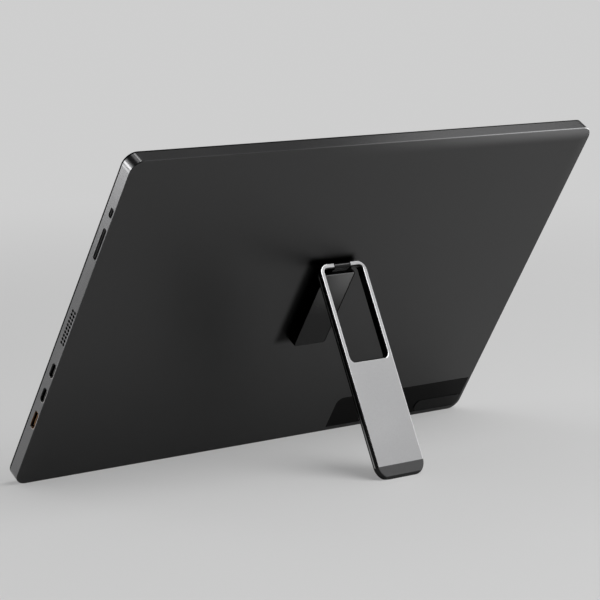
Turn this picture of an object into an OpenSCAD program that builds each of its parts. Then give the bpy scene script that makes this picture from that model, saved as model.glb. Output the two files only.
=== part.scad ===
// Portable monitor with a flat hinged leg on its back, standing as in use.
// Built in the panel's own frame (x across, y out of the back, z up the panel),
// then leaned back so that the bottom edge and the leg's foot both meet z = 0.

/* [Body] */
// Width of the body
body_w = 357; // [345:1:380]
// Height of the body, measured up the panel
body_h = 232; // [226:1:250]
// Thickness of the body, cover glass included
body_t = 9.1; // [8:0.1:12]
// Radius of the four corners of the body
corner_r = 8; // [6:0.5:9]
// Wall of the aluminium rear cover
wall = 1.2; // [1:0.1:1.3]
// Bevel along the back edge of the rear cover
edge_bevel = 0.4; // [0.2:0.05:0.8]

/* [Display] */
// Dark border at each side of the picture area
side_border = 6.15; // [5.5:0.05:8]
// Dark border above the picture area
top_border = 6.2; // [5.8:0.1:8]
// Dark border below the picture area
bottom_border = 10.4; // [9.5:0.1:14]
// Thickness of the cover glass
glass_t = 0.6; // [0.5:0.05:0.7]
// Thickness of the tape that bonds the glass
tape_t = 0.15; // [0.1:0.05:0.2]
// Width of the bonding tape
tape_w = 3; // [2:0.5:4]

/* [Side ports] */
// Gap between the sockets and the inner face of the back
port_gap = 0.05; // [0.02:0.01:0.15]
// Height of the mini HDMI port on the panel
hdmi_v = 48.2; // [42:0.1:60]
// Distance from the mini HDMI port up to the lower USB-C port
usb_lower_rise = 18.7; // [14:0.1:24]
// Distance from the lower USB-C port up to the upper one
usb_upper_rise = 18; // [12:0.1:24]
// Distance of the socket mouths below the side wall's outer face
socket_sink = 0.3; // [0.1:0.05:0.6]

/* [Speakers] */
// Distance from the upper USB-C port up to the middle of the speaker grille
grille_rise = 31; // [28:0.1:36]
// Holes in each row of the grille
grille_count = 10; // [6:1:12]
// Spacing of the grille holes along a row
grille_pitch = 2.5; // [2:0.1:2.6]
// Diameter of a grille hole
grille_hole = 1.25; // [0.8:0.05:1.4]
// Distance between the two rows of the grille
grille_rows = 2.2; // [2:0.1:2.3]

/* [Buttons] */
// Height of the middle of the volume rocker
rocker_v = 174.9; // [165:0.1:190]
// Distance from the middle of the volume rocker up to the power button
power_rise = 21.1; // [18.5:0.1:28]
// Length of the power button's slot
power_len = 6.1; // [5:0.1:8]
// Length of the volume rocker's slot
rocker_len = 20.9; // [18:0.1:24]
// Width of both button slots
slot_w = 2.75; // [2.4:0.05:2.8]
// Gap between a button and its slot
button_gap = 0.2; // [0.15:0.05:0.3]
// Travel of the power button
button_travel = 0.35; // [0.2:0.05:0.4]

/* [Stand] */
// Offset of the stand from the middle of the body
stand_x = -5.5; // [-20:0.5:20]
// Height of the hinge axis on the panel
axis_v = 143.8; // [138:0.1:150]
// Distance of the hinge axis out from the back face
axis_out = 3.05; // [3:0.05:3.5]
// Opening angle of the leg as it stands, from folded flat
leg_open = 56.7; // [40:0.1:75]
// Length of the leg, from the hinge axis to the sole
leg_len = 132; // [120:0.5:136]
// Width of the leg
leg_w = 36.8; // [36:0.1:42]
// Thickness of the leg
leg_t = 4.8; // [4.4:0.1:4.9]
// Distance of the leg's face from the hinge axis
leg_face = 2.15; // [2.1:0.05:2.5]
// Width of the rails beside the window
rail_w = 3.6; // [3.2:0.1:4]
// Rounding of the edges of the leg's face
face_round = 1; // [0.6:0.1:1.1]
// Rounding of the edges of the leg's back
back_round = 1.2; // [1:0.1:1.4]
// Distance from the hinge axis to the lower end of the window
window_len = 59.7; // [59.5:0.1:70]
// Length of the leg covered by the foot cap
foot_len = 7.8; // [6:0.1:10]
// Radius of the leg's upper corners
leg_top_r = 6.5; // [5:0.1:8]
// Radius of the foot's corners
foot_r = 8.8; // [6:0.1:10]
// Width of the hinge bracket
bracket_w = 25; // [22:0.1:26]
// Height of the hinge bracket's block, up the panel
bracket_h = 54.8; // [50:0.1:55]
// Distance that the bracket stands out from the back face
bracket_t = 5.8; // [5.5:0.1:7]

/* [Rear strip] */
// Left end of the glossy strip, from the middle of the body
strip_start = -60; // [-80:0.5:-45]
// Height of the glossy strip
strip_h = 24; // [18:0.1:28]
// Distance from the strip to the body's side
strip_side = 2.4; // [2:0.1:4]
// Distance from the strip to the body's lower edge
strip_low = 3.3; // [2.5:0.1:5]
// Thickness of the strip, set into the cover
strip_t = 0.4; // [0.3:0.05:0.5]

/* [Hidden] */
$fn = 96;
eps = 0.01;
// How far a cutter runs past what it cuts
cut = 1;

// Finishes
anodised = [0.24, 0.24, 0.25];
satin_silver = [0.66, 0.66, 0.67];
glass_black = [0.03, 0.03, 0.035];
soft_black = [0.08, 0.08, 0.085];
foot_grey = [0.2, 0.2, 0.21];
steel = [0.62, 0.63, 0.65];
board_green = [0.05, 0.2, 0.12];
cable_amber = [0.75, 0.45, 0.12];
sheet_white = [0.93, 0.93, 0.9];
gold_plate = [0.8, 0.5, 0.28];
clear_acrylic = [0.9, 0.93, 0.95];

// Depths of the display stack, negative into the body from its back face
glass_back = -body_t + glass_t;
rim_front = glass_back + tape_t;
rim_bevel = 0.05;
tape_r = 1;
cell_t = 1;
cell_back = glass_back + cell_t;
films_t = 0.35;
films_back = cell_back + films_t;
guide_t = 0.6;
guide_back = films_back + guide_t;
reflector_t = 0.2;
reflector_back = guide_back + reflector_t;
tray_t = 0.35;
tray_back = reflector_back + tray_t;
ledge_t = 0.35;
ledge_back = tray_back + ledge_t;

// Outlines of the display stack
glass_inset = 0.15;
glass_bevel = 0.2;
cell_margin = 1.8;
cell_drop = 2.6;
cell_w = body_w - 2 * (side_border - cell_margin);
cell_top = body_h - top_border + cell_margin;
cell_bottom = bottom_border - cell_margin - cell_drop;
fit = 0.15;
tray_wall = 0.35;
tray_gap = 0.2;
tray_w = cell_w + 2 * (tray_wall + tray_gap);
tray_top = cell_top + tray_wall + tray_gap;
tray_bottom = cell_bottom - tray_wall - tray_gap;
led_h = 1;
led_gap = 0.1;
ledge_w = 3;

// Inside of the rear cover
inner_w = body_w - 2 * wall;
inner_h = body_h - 2 * wall;
inner_r = corner_r - wall;
side_x = body_w / 2;
inner_x = side_x - wall;
rib_count = 9;
rib_t = 1;
rib_reach = 4;

// Places up the side wall
usb_lower_v = hdmi_v + usb_lower_rise;
usb_upper_v = usb_lower_v + usb_upper_rise;
grille_v = usb_upper_v + grille_rise;
power_v = rocker_v + power_rise;

// Sockets
socket_h = 3.16;
usb_w = 8.94;
usb_depth = 7.3;
hdmi_w = 11.2;
hdmi_depth = 7.5;
hdmi_skirt = 1.1;
socket_wall = 0.3;
socket_back = 0.8;
plate_tongue_t = 0.7;
socket_gap = 0.17;
socket_face = side_x - socket_sink;

// Button caps, with flanges behind the side wall
cap_crown = 0.25;
cap_sink = 0.35;
flange_gap = 0.1;
flange_t = 0.6;
flange_lap = 0.55;
rocker_gap = 0.45;

// Boards, standing on bosses, with notches for the sockets and switches
board_t = 0.7;
notch_gap = 0.15;
port_depth = wall + port_gap + socket_h / 2;
board_back = -port_depth + board_t / 2;
board_front = board_back - board_t;
board_gap = 0.4;
board_edge = inner_x - board_gap;
main_w = 46;
main_below = 12.2;
main_above = 10.5;
main_bottom = hdmi_v - main_below;
main_h = usb_upper_v + main_above - main_bottom;
main_x = board_edge - main_w;
timing_w = 150;
timing_h = 11;
timing_x = -90;
timing_bottom = 9;
key_w = 10;
key_gap = 0.5;
key_edge = inner_x - rocker_gap - flange_t - key_gap;
key_x = key_edge - key_w;
key_margin = 2.6;
key_bottom = rocker_v - rocker_len / 2 - key_margin;
key_h = power_v + power_len / 2 + key_margin - key_bottom;
boss_r = 2.2;
screw_r = 0.8;
screw_fit = 0.05;
screw_hole = screw_r + screw_fit;
screw_head_r = 1.5;
screw_head_t = 0.4;
screw_len = 1.5;
screw_end_gap = 0.2;
boss_inset = 3;
socket_clear = 6.6;
main_right = socket_face - hdmi_depth - boss_r - socket_clear;
timing_screw_in = 24;
main_screws = [
    [main_x + boss_inset, main_bottom + boss_inset],
    [main_x + boss_inset, main_bottom + main_h - boss_inset],
    [main_right, main_bottom + main_h - boss_inset],
    [main_right, main_bottom + boss_inset]
];
timing_screws = [
    [timing_x + boss_inset, timing_bottom + timing_h / 2],
    [timing_x + timing_w - timing_screw_in, timing_bottom + timing_h / 2]
];
// Chips of each board: place across, place up, width, height and thickness
main_chips = [[10, 25, 14, 14, 1], [28, 12, 6, 5, 0.9], [27, 38, 6, 6, 1.1]];
timing_chips = [[50, 2, 8, 6, 1], [95, 3, 5, 4, 0.8]];
// Switches of the key board, and its screws between them
arm_in = 3.6;
rocker_arm = rocker_len / 2 - arm_in;
switch_places = [power_v, rocker_v + rocker_arm, rocker_v - rocker_arm];
key_screws = [
    [key_x + boss_inset, rocker_v],
    [key_x + boss_inset, (switch_places[0] + switch_places[1]) / 2]
];
all_screws = concat(main_screws, timing_screws, key_screws);

// Flat cables
ribbon_t = 0.2;
ribbon_lap = 6;

// Speakers
speaker_w = 16;
speaker_h = 33;
speaker_gap = 0.05;
speaker_t = -ledge_back - wall - speaker_gap;
speaker_r = 2;
gasket_t = 0.4;
gasket_wall = 1.2;
gasket_clear = 0.8;
gasket_lip = 0.2;
gasket_inner_h = (grille_count - 1) * grille_pitch + grille_hole + 2 * gasket_clear;
gasket_h = gasket_inner_h + 2 * gasket_wall;
gasket_inner_w = speaker_t - 2 * gasket_lip;
speaker_depth = wall + speaker_t / 2;
grille_in = 1.95;
grille_depth = wall + grille_in;
speaker_front = inner_x - gasket_t;
speaker_mouth = 6;

// Stems of the buttons and the switches behind them
flange_clear = 0.05;
flange_w = 2 * (port_depth - wall - flange_clear);
stem_r = 0.7;
switch_clear = 0.05;
switch_gap = button_travel + switch_clear;
switch_w = 2.2;
switch_len = 4.6;
switch_h = 2.6;
plunger_r = 0.6;
plunger_len = 0.5;
switch_in = 5.6;
switch_face = key_x + switch_in;
plunger_tip = switch_face + plunger_len;
ridge_r = 0.35;
ridge_gap = 0.05;

// Stand
pin_r = 1;
pin_fit = 0.03;
pin_end_gap = 0.1;
bar_up = 1.9;
bar_down = 1.5;
barrel_gap = 12.2;
washer_t = 0.15;
washer_fit = 0.05;
barrel_len = barrel_gap - 2 * (washer_t + 2 * washer_fit);
barrel_r = 2.15;
sleeve_wall = 0.45;
sleeve_out = pin_r + pin_fit + sleeve_wall;
sleeve_bore = sleeve_out + pin_fit;
sleeve_slit = 0.5;
sleeve_gap = 0.2;
pin_reach = leg_w / 2 - rail_w;
stub_bevel = 0.7;
window_w = leg_w - 2 * rail_w;
window_low_r = 3;
window_high_r = 2;
seam_len = leg_len - foot_len;
foot_bevel = 1.4;
blank_spare = 0.3;
blank_len = leg_len + blank_spare;
tongue_side = 6;
tongue_w = leg_w - 2 * tongue_side;
tongue_t = 1.6;
tongue_len = 6;
tongue_fit = 0.05;
bracket_drop = 4.3;
bracket_top = axis_v - bracket_drop;
bracket_bottom = bracket_top - bracket_h;
bracket_low_r = 2.2;
bracket_high_r = 0.8;
bracket_bevel = 0.3;
web_rise = 1.15;
web_lap = 1;
web_out = axis_out + web_rise;
plate_t = 0.8;
plate_margin = 7;
plate_r = 4;
stand_screw_r = 1;
stand_screw_fit = 0.04;
stand_head_r = 1.9;
stand_head_t = 0.9;
stand_screw_in = 3.6;
stand_screw_side = 5;
stand_screw_end = 8;
stand_screw_x = bracket_w / 2 - stand_screw_side;
stand_screw_rows = [stand_screw_end, bracket_h / 2, bracket_h - stand_screw_end];

// Rear strip
strip_sink = 0.02;
strip_gap = 0.1;
strip_low_r = corner_r - strip_low;
strip_r = 5;
pad_w = 40.4;
pad_h = 8.8;
pad_t = 0.5;
pad_side = 0.2;
pad_low = 0.8;
pad_bevel = 0.2;
pad_foot = 0.02;
pad_r = min(strip_low_r - pad_side - pad_low / 2, pad_h / 2 - pad_bevel);

// Standing pose: the floor runs through the body's lower back edge and the sole
foot_v = axis_v - leg_len * cos(leg_open);
foot_out = axis_out + leg_len * sin(leg_open);
lean = 90 - atan2(foot_out + edge_bevel, foot_v);
leg_tilt = leg_open - lean;
floor_drop = edge_bevel * sin(lean);
y_low = -body_t * cos(lean) + (glass_inset + glass_bevel) * sin(lean);
y_axis = axis_out * cos(lean) + axis_v * sin(lean);
y_high = y_axis + (leg_len - foot_bevel) * sin(leg_tilt) + leg_face * cos(leg_tilt);
y_shift = -(y_low + y_high) / 2;

// Puts the panel's frame on the floor, leaning back
module on_panel() {
    translate([0, y_shift, -floor_drop]) rotate([-lean, 0, 0]) children();
}

// Puts the leg's frame at the hinge: y out of the leg's face, z towards the hinge
module on_leg() {
    on_panel() translate([stand_x, axis_out, axis_v]) rotate([leg_open, 0, 0]) children();
}

// Rounded rectangle from z = 0 up, drawn in the plane
module rounded_rect(w, h, r) {
    translate([-w / 2 + r, 0]) square([w - 2 * r, h]);
    translate([-w / 2, r]) square([w, h - 2 * r]);
    for (x = [-w / 2 + r, w / 2 - r], y = [r, h - r]) translate([x, y]) circle(r = r);
}

// Extrudes an outline, drawn across and up the panel, from depth low to depth high
module panel_plate(low, high) {
    translate([0, high, 0]) rotate([90, 0, 0]) linear_extrude(high - low) children();
}

// Extrudes an outline, drawn in depth and up the panel, from x = low to x = high
module side_plate(low, high) {
    translate([low, 0, 0]) rotate([90, 0, 90]) linear_extrude(high - low) children();
}

// Slab with round corners. Its children draw half of its section: from the middle
// out to x = $half, and through its thickness along y
module slab(w, h, r) {
    let ($half = h / 2) translate([w / 2 - r, 0, h / 2]) rotate([0, -90, 0])
        linear_extrude(w - 2 * r) mirrored() children();
    let ($half = w / 2) translate([0, 0, r])
        linear_extrude(h - 2 * r) mirrored() children();
    let ($half = r) for (x = [-w / 2 + r, w / 2 - r], z = [r, h - r])
        translate([x, 0, z]) rotate([-90, 0, 0]) rotate_extrude() children();
}

// Slab whose lower and upper corners have their own radii
module bar(w, h, low_r, high_r) {
    lap = max(low_r, high_r) + cut;
    slab(w, h / 2 + lap, low_r) children();
    translate([0, 0, h / 2 - lap]) slab(w, h / 2 + lap, high_r) children();
}

// Its children and their mirror image
module mirrored() {
    children();
    mirror([1, 0]) children();
}

// Half section with bevelled edges: c0 at y = 0 and c1 at y = t
module bevelled_edge(t, c0, c1) {
    polygon([[0, 0], [$half - c0, 0], [$half, c0], [$half, t - c1], [$half - c1, t], [0, t]]);
}

// Half section with rounded edges: e0 at y = 0 and e1 at y = t
module rounded_edge(t, e0, e1) {
    square([$half - e0, t - e1]);
    translate([0, e0]) square([$half - e1, t - e0]);
    translate([0, e0]) square([$half, t - e0 - e1]);
    translate([$half - e0, e0]) circle(r = e0);
    translate([$half - e1, t - e1]) circle(r = e1);
}

// Half section of a hole whose edge at y = t flares out with radius e
module flared_edge(t, e) {
    square([$half, t + cut]);
    difference() {
        translate([0, t - e]) square([$half + e, e + cut]);
        translate([$half + e, t - e]) circle(r = e);
    }
}

// Stadium outline, long up the panel and centred
module stadium(len, w) {
    square([w, len - w], center = true);
    for (s = [-1, 1]) translate([0, s * (len - w) / 2]) circle(d = w);
}

// Straight hole or shaft along x
module along_x(r, low, high) {
    translate([low, 0, 0]) rotate([0, 90, 0]) cylinder(r = r, h = high - low);
}

// Straight hole or shaft along the panel's depth
module along_depth(r, low, high) {
    translate([0, high, 0]) rotate([90, 0, 0]) cylinder(r = r, h = high - low);
}

// Six-sided outline of the mini HDMI shell, grown by g
module hdmi_outline(g) {
    h = socket_h / 2 + g;
    w = hdmi_w / 2 + g;
    polygon([
        [-h, -w], [h - hdmi_skirt, -w], [h, -w + hdmi_skirt],
        [h, w - hdmi_skirt], [h - hdmi_skirt, w], [-h, w]
    ]);
}

// Outline of the glossy strip, grown by g: round where it ends on the open back,
// and following the body's corner at its other end
module strip_outline(g) {
    right = strip_start + g;
    left = -side_x + strip_side - g;
    bottom = strip_low - g;
    top = strip_low + strip_h + g;
    difference() {
        translate([left, bottom]) square([right - left, top - bottom]);
        translate([right - strip_r, top - strip_r]) square(strip_r + cut);
        translate([left - cut, bottom - cut]) square(strip_low_r + cut);
    }
    translate([right - strip_r, top - strip_r]) circle(r = strip_r);
    translate([left + strip_low_r, bottom + strip_low_r]) circle(r = strip_low_r);
}

// The openings of one speaker grille, on the side given by sx
module grille_holes(sx) {
    for (i = [0 : grille_count - 1], row = [-1, 1])
        translate([
            sx * (side_x + inner_x) / 2,
            -grille_depth + row * grille_rows / 2,
            grille_v + (i - (grille_count - 1) / 2) * grille_pitch
        ])
            along_x(grille_hole / 2, -wall, wall);
}

// Machined aluminium tray that is the back and the four sides of the body
module rear_cover() {
    color(anodised) on_panel() difference() {
        union() {
            difference() {
                translate([0, rim_front, 0]) slab(body_w, body_h, corner_r)
                    bevelled_edge(-rim_front, rim_bevel, edge_bevel);
                panel_plate(rim_front - cut, -wall) translate([0, wall])
                    rounded_rect(inner_w, inner_h, inner_r);
            }
            for (p = all_screws)
                translate([p[0], 0, p[1]]) along_depth(boss_r, board_back, -wall);
            for (i = [0 : rib_count - 1])
                translate([(i - (rib_count - 1) / 2) * inner_w / (rib_count + 1), 0, 0]) {
                    translate([-rib_t / 2, ledge_back, wall - eps])
                        cube([rib_t, -wall - ledge_back, rib_reach]);
                    translate([-rib_t / 2, ledge_back, body_h - wall - rib_reach + eps])
                        cube([rib_t, -wall - ledge_back, rib_reach]);
                }
        }
        for (p = all_screws)
            translate([p[0], 0, p[1]])
                along_depth(screw_hole, board_back - cut,
                    board_back + screw_len + screw_end_gap);
        for (v = [usb_upper_v, usb_lower_v])
            side_plate(inner_x - cut, side_x + cut) translate([-port_depth, v])
                stadium(usb_w + 2 * socket_gap, socket_h + 2 * socket_gap);
        side_plate(inner_x - cut, side_x + cut) translate([-port_depth, hdmi_v])
            hdmi_outline(socket_gap);
        side_plate(inner_x - cut, side_x + cut) translate([-port_depth, power_v])
            stadium(power_len, slot_w);
        side_plate(inner_x - cut, side_x + cut) translate([-port_depth, rocker_v])
            stadium(rocker_len, slot_w);
        for (sx = [-1, 1]) grille_holes(sx);
        panel_plate(-strip_t - strip_sink, cut) strip_outline(strip_gap);
        for (x = [-1, 1], h = stand_screw_rows)
            translate([stand_x + x * stand_screw_x, 0, bracket_bottom + h])
                along_depth(stand_screw_r + stand_screw_fit, -wall - cut, cut);
    }
}

// Cover glass over the whole front
module cover_glass() {
    color(glass_black) on_panel()
        translate([0, -body_t, glass_inset])
            slab(body_w - 2 * glass_inset, body_h - 2 * glass_inset, corner_r - glass_inset)
                bevelled_edge(glass_t, glass_bevel, rim_bevel);
}

// Ring of black tape between the glass and the rim
module glass_tape() {
    color(soft_black) on_panel() panel_plate(glass_back, rim_front) difference() {
        translate([0, glass_inset])
            rounded_rect(body_w - 2 * glass_inset, body_h - 2 * glass_inset,
                corner_r - glass_inset);
        translate([0, tape_w]) rounded_rect(body_w - 2 * tape_w, body_h - 2 * tape_w, tape_r);
    }
}

// Moulded frame that holds the display module inside the cover
module panel_frame() {
    hole_r = 0.5;
    ledge_r = 3;
    color(soft_black) on_panel() difference() {
        panel_plate(rim_front, ledge_back) translate([0, wall + fit])
            rounded_rect(inner_w - 2 * fit, inner_h - 2 * fit, inner_r - fit);
        panel_plate(rim_front - cut, tray_back) translate([0, tray_bottom - fit])
            rounded_rect(tray_w + 2 * fit, tray_top - tray_bottom + 2 * fit, hole_r);
        panel_plate(rim_front - cut, ledge_back + cut) translate([0, tray_bottom + ledge_w])
            rounded_rect(tray_w - 2 * ledge_w, tray_top - tray_bottom - 2 * ledge_w, ledge_r);
    }
}

// Liquid crystal cell, two panes bonded under the cover glass
module lcd_cell() {
    color(glass_black) on_panel() panel_plate(glass_back, cell_back)
        translate([-cell_w / 2, cell_bottom]) square([cell_w, cell_top - cell_bottom]);
}

// Stack of diffuser and prism films
module optical_films() {
    color(sheet_white) on_panel() panel_plate(cell_back, films_back)
        translate([-cell_w / 2, cell_bottom + led_h + led_gap])
            square([cell_w, cell_top - cell_bottom - led_h - led_gap]);
}

// Clear acrylic plate that spreads the light
module light_guide() {
    color(clear_acrylic) on_panel() panel_plate(films_back, guide_back)
        translate([-cell_w / 2, cell_bottom + led_h + led_gap])
            square([cell_w, cell_top - cell_bottom - led_h - led_gap]);
}

// White sheet behind the light guide
module reflector_sheet() {
    color(sheet_white) on_panel() panel_plate(guide_back, reflector_back)
        translate([-cell_w / 2, cell_bottom])
            square([cell_w, cell_top - cell_bottom]);
}

// Flexible strip with the light-emitting diodes along the light guide's lower edge
module led_strip() {
    led_count = 24;
    led_w = 3;
    base_t = 0.2;
    color(sheet_white) on_panel() {
        panel_plate(guide_back - base_t, guide_back)
            translate([-cell_w / 2, cell_bottom]) square([cell_w, led_h]);
        for (i = [0 : led_count - 1])
            translate([(i + 0.5) * cell_w / led_count - cell_w / 2 - led_w / 2, 0, 0])
                panel_plate(films_back, guide_back - base_t + eps)
                    translate([0, cell_bottom + led_gap]) square([led_w, led_h - led_gap]);
    }
}

// Folded steel tray that carries the display stack
module panel_tray() {
    color(steel) on_panel() {
        panel_plate(reflector_back, tray_back)
            translate([-tray_w / 2, tray_bottom]) square([tray_w, tray_top - tray_bottom]);
        panel_plate(cell_back, reflector_back + eps) difference() {
            translate([-tray_w / 2, tray_bottom]) square([tray_w, tray_top - tray_bottom]);
            translate([-tray_w / 2 + tray_wall, tray_bottom + tray_wall])
                square([tray_w - 2 * tray_wall, tray_top - tray_bottom - 2 * tray_wall]);
        }
    }
}

// Cuts the screw holes of a board
module board_holes(places) {
    for (p = places)
        translate([p[0], 0, p[1]]) along_depth(screw_hole, board_front - cut, board_back + cut);
}

// Cuts a notch in a board's edge, from depth x in to its edge, for a part of width w at v
module board_notch(x, v, w) {
    translate([x - notch_gap, board_front - cut, v - w / 2 - notch_gap])
        cube([inner_x - x, board_t + 2 * cut, w + 2 * notch_gap]);
}

// Chips and connectors soldered on the back face of the board whose corner is at x, v
module solder(chips, x, v) {
    for (c = chips) translate([x + c[0], board_back - eps, v + c[1]]) cube([c[2], c[4] + eps, c[3]]);
}

// Long board that drives the cell
module timing_board() {
    color(board_green) on_panel() difference() {
        union() {
            panel_plate(board_front, board_back)
                translate([timing_x, timing_bottom]) square([timing_w, timing_h]);
            solder(timing_chips, timing_x, timing_bottom);
        }
        board_holes(timing_screws);
    }
}

// Flat cable from the main board to the timing board
module display_cable() {
    cable_w = 9;
    cable_side = 14;
    cable_up = 6;
    timing_lap = 16;
    cable_low = timing_bottom + (timing_h - cable_w) / 2;
    cable_x = main_x - cable_side;
    start_v = main_bottom + cable_up;
    end_x = timing_x + timing_w - timing_lap;
    color(cable_amber) on_panel() panel_plate(board_back, board_back + ribbon_t) {
        translate([cable_x, start_v]) square([main_x + ribbon_lap - cable_x, cable_w]);
        translate([cable_x, cable_low]) square([cable_w, start_v + cable_w - cable_low]);
        translate([end_x, cable_low]) square([cable_x + cable_w - end_x, cable_w]);
    }
}

// Board with the sockets and the picture processor
module main_board() {
    color(board_green) on_panel() difference() {
        union() {
            panel_plate(board_front, board_back)
                translate([main_x, main_bottom]) square([main_w, main_h]);
            solder(main_chips, main_x, main_bottom);
        }
        board_holes(main_screws);
        for (v = [usb_upper_v, usb_lower_v]) board_notch(socket_face - usb_depth, v, usb_w);
        board_notch(socket_face - hdmi_depth, hdmi_v, hdmi_w);
    }
}

// One USB-C socket: a drawn steel shell, open at the mouth, with its tongue
module usb_c(v) {
    cavity_w = usb_w - 2 * socket_wall;
    tongue_w = 6.7;
    tongue_sink = 0.9;
    on_panel() translate([0, -port_depth, v]) {
        difference() {
            side_plate(socket_face - usb_depth, socket_face) stadium(usb_w, socket_h);
            side_plate(socket_face - usb_depth + socket_back, socket_face + cut)
                stadium(cavity_w, socket_h - 2 * socket_wall);
        }
        side_plate(socket_face - usb_depth + socket_back - eps, socket_face - tongue_sink)
            square([plate_tongue_t, tongue_w], center = true);
    }
}

module usb_c_upper() {
    color(steel) usb_c(usb_upper_v);
}

module usb_c_lower() {
    color(steel) usb_c(usb_lower_v);
}

// Mini HDMI socket with its plated shell and tongue
module mini_hdmi() {
    tongue_w = 8;
    tongue_sink = 0.8;
    color(gold_plate) on_panel() translate([0, -port_depth, hdmi_v]) {
        difference() {
            side_plate(socket_face - hdmi_depth, socket_face) hdmi_outline(0);
            side_plate(socket_face - hdmi_depth + socket_back, socket_face + cut)
                hdmi_outline(-socket_wall);
        }
        side_plate(socket_face - hdmi_depth + socket_back - eps, socket_face - tongue_sink)
            square([plate_tongue_t, tongue_w], center = true);
    }
}

// Small board behind the buttons
module key_board() {
    color(board_green) on_panel() difference() {
        panel_plate(board_front, board_back)
            translate([key_x, key_bottom]) square([key_w, key_h]);
        board_holes(key_screws);
        for (v = switch_places) board_notch(switch_face - switch_w, v, switch_len);
    }
}

// Three side-push switches on the key board
module key_switches() {
    color(steel) on_panel()
        for (v = switch_places) {
            translate([switch_face - switch_w, -port_depth - switch_h / 2, v - switch_len / 2])
                cube([switch_w, switch_h, switch_len]);
            translate([0, -port_depth, v]) along_x(plunger_r, switch_face - eps, plunger_tip);
        }
}

// Flat cable from the key board down to the main board, round the speaker
module key_cable() {
    cable_w = 5;
    cable_up = 7;
    key_lap = 2;
    cable_x = speaker_front - speaker_w - cable_w - key_lap;
    cable_low = main_bottom + main_h - ribbon_lap;
    cable_high = key_bottom + cable_up;
    color(cable_amber) on_panel() panel_plate(board_back, board_back + ribbon_t) {
        translate([cable_x, cable_low]) square([cable_w, cable_high - cable_low]);
        translate([cable_x, cable_high - cable_w])
            square([key_x + key_lap - cable_x, cable_w]);
    }
}

// Screws that hold the boards on their bosses
module board_screws() {
    color(steel) on_panel() for (p = all_screws)
        translate([p[0], 0, p[1]]) {
            along_depth(screw_r, board_front - eps, board_back + screw_len);
            along_depth(screw_head_r, board_front - screw_head_t, board_front);
        }
}

// Speaker boxes, one at each side, each with a slot for a mouth
module speakers() {
    cone_r = 5.5;
    cone_sink = 0.3;
    cone_v = 7.3;
    color(soft_black) on_panel() for (sx = [0, 1])
        mirror([sx, 0, 0]) difference() {
            translate([speaker_front - speaker_w / 2, 0, grille_v - speaker_h / 2])
                panel_plate(-wall - speaker_t, -wall)
                    rounded_rect(speaker_w, speaker_h, speaker_r);
            for (v = [-1, 1])
                translate([speaker_front - speaker_w / 2, 0, grille_v + v * cone_v])
                    along_depth(cone_r, -wall - speaker_t - cut, -wall - speaker_t + cone_sink);
            side_plate(speaker_front - speaker_mouth, speaker_front + cut)
                translate([-speaker_depth, grille_v])
                    square([gasket_inner_w, gasket_inner_h], center = true);
        }
}

// Foam rings that seal the speakers to the side walls
module speaker_gaskets() {
    color(soft_black) on_panel() for (sx = [0, 1])
        mirror([sx, 0, 0]) side_plate(speaker_front, inner_x) difference() {
            translate([-speaker_depth, grille_v]) square([speaker_t, gasket_h], center = true);
            translate([-speaker_depth, grille_v])
                square([gasket_inner_w, gasket_inner_h], center = true);
        }
}

// Glossy strip set flush into the back
module rear_strip() {
    color(glass_black) on_panel()
        panel_plate(-strip_t - strip_sink, -strip_sink) strip_outline(0);
}

// Low rubber pad on the strip, following it round the body's lower corner
module strip_pad() {
    color(soft_black) on_panel()
        translate([-side_x + strip_side + pad_side + pad_w / 2, -strip_sink, strip_low + pad_low])
            slab(pad_w, pad_h, pad_r) bevelled_edge(pad_t, pad_foot, pad_bevel);
}

// Steel plate inside the cover that spreads the stand's load
module stand_plate() {
    color(steel) on_panel() difference() {
        panel_plate(-wall - plate_t, -wall)
            translate([stand_x, bracket_bottom - plate_margin])
                rounded_rect(bracket_w + 2 * plate_margin, bracket_h + 2 * plate_margin, plate_r);
        for (x = [-1, 1], h = stand_screw_rows)
            translate([stand_x + x * stand_screw_x, 0, bracket_bottom + h])
                along_depth(stand_screw_r + stand_screw_fit, -wall - plate_t - cut, 0);
    }
}

// Screws that pull the bracket onto the cover from inside
module stand_screws() {
    head_face = -wall - plate_t;
    color(steel) on_panel() for (x = [-1, 1], h = stand_screw_rows)
        translate([stand_x + x * stand_screw_x, 0, bracket_bottom + h]) {
            along_depth(stand_screw_r, head_face - eps, stand_screw_in);
            along_depth(stand_head_r, head_face - stand_head_t, head_face);
        }
}

// Bracket block on the back, with the barrel of the hinge at its upper edge
module stand_bracket() {
    color(soft_black) on_panel() translate([stand_x, 0, 0]) difference() {
        union() {
            translate([0, 0, bracket_bottom])
                bar(bracket_w, bracket_h, bracket_low_r, bracket_high_r)
                    bevelled_edge(bracket_t, rim_bevel, bracket_bevel);
            translate([-barrel_len / 2, 0, bracket_top - web_lap])
                cube([barrel_len, web_out, bracket_drop + web_lap]);
            translate([0, axis_out, axis_v]) along_x(barrel_r, -barrel_len / 2, barrel_len / 2);
        }
        translate([0, axis_out, axis_v])
            along_x(sleeve_bore, -barrel_len / 2 - cut, barrel_len / 2 + cut);
        for (x = [-1, 1], h = stand_screw_rows)
            translate([x * stand_screw_x, 0, bracket_bottom + h])
                along_depth(stand_screw_r + stand_screw_fit, -cut, stand_screw_in + screw_end_gap);
    }
}

// Split spring sleeves in the barrel that grip the pin
module friction_sleeves() {
    sleeve_len = (barrel_len - sleeve_gap) / 2;
    color(steel) on_panel() translate([stand_x, axis_out, axis_v])
        for (x = [-barrel_len / 2, barrel_len / 2 - sleeve_len])
            difference() {
                along_x(sleeve_out, x, x + sleeve_len);
                along_x(pin_r + pin_fit, x - cut, x + sleeve_len + cut);
                translate([x - cut, -sleeve_slit / 2, 0])
                    cube([sleeve_len + 2 * cut, sleeve_slit, sleeve_out + cut]);
            }
}

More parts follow.
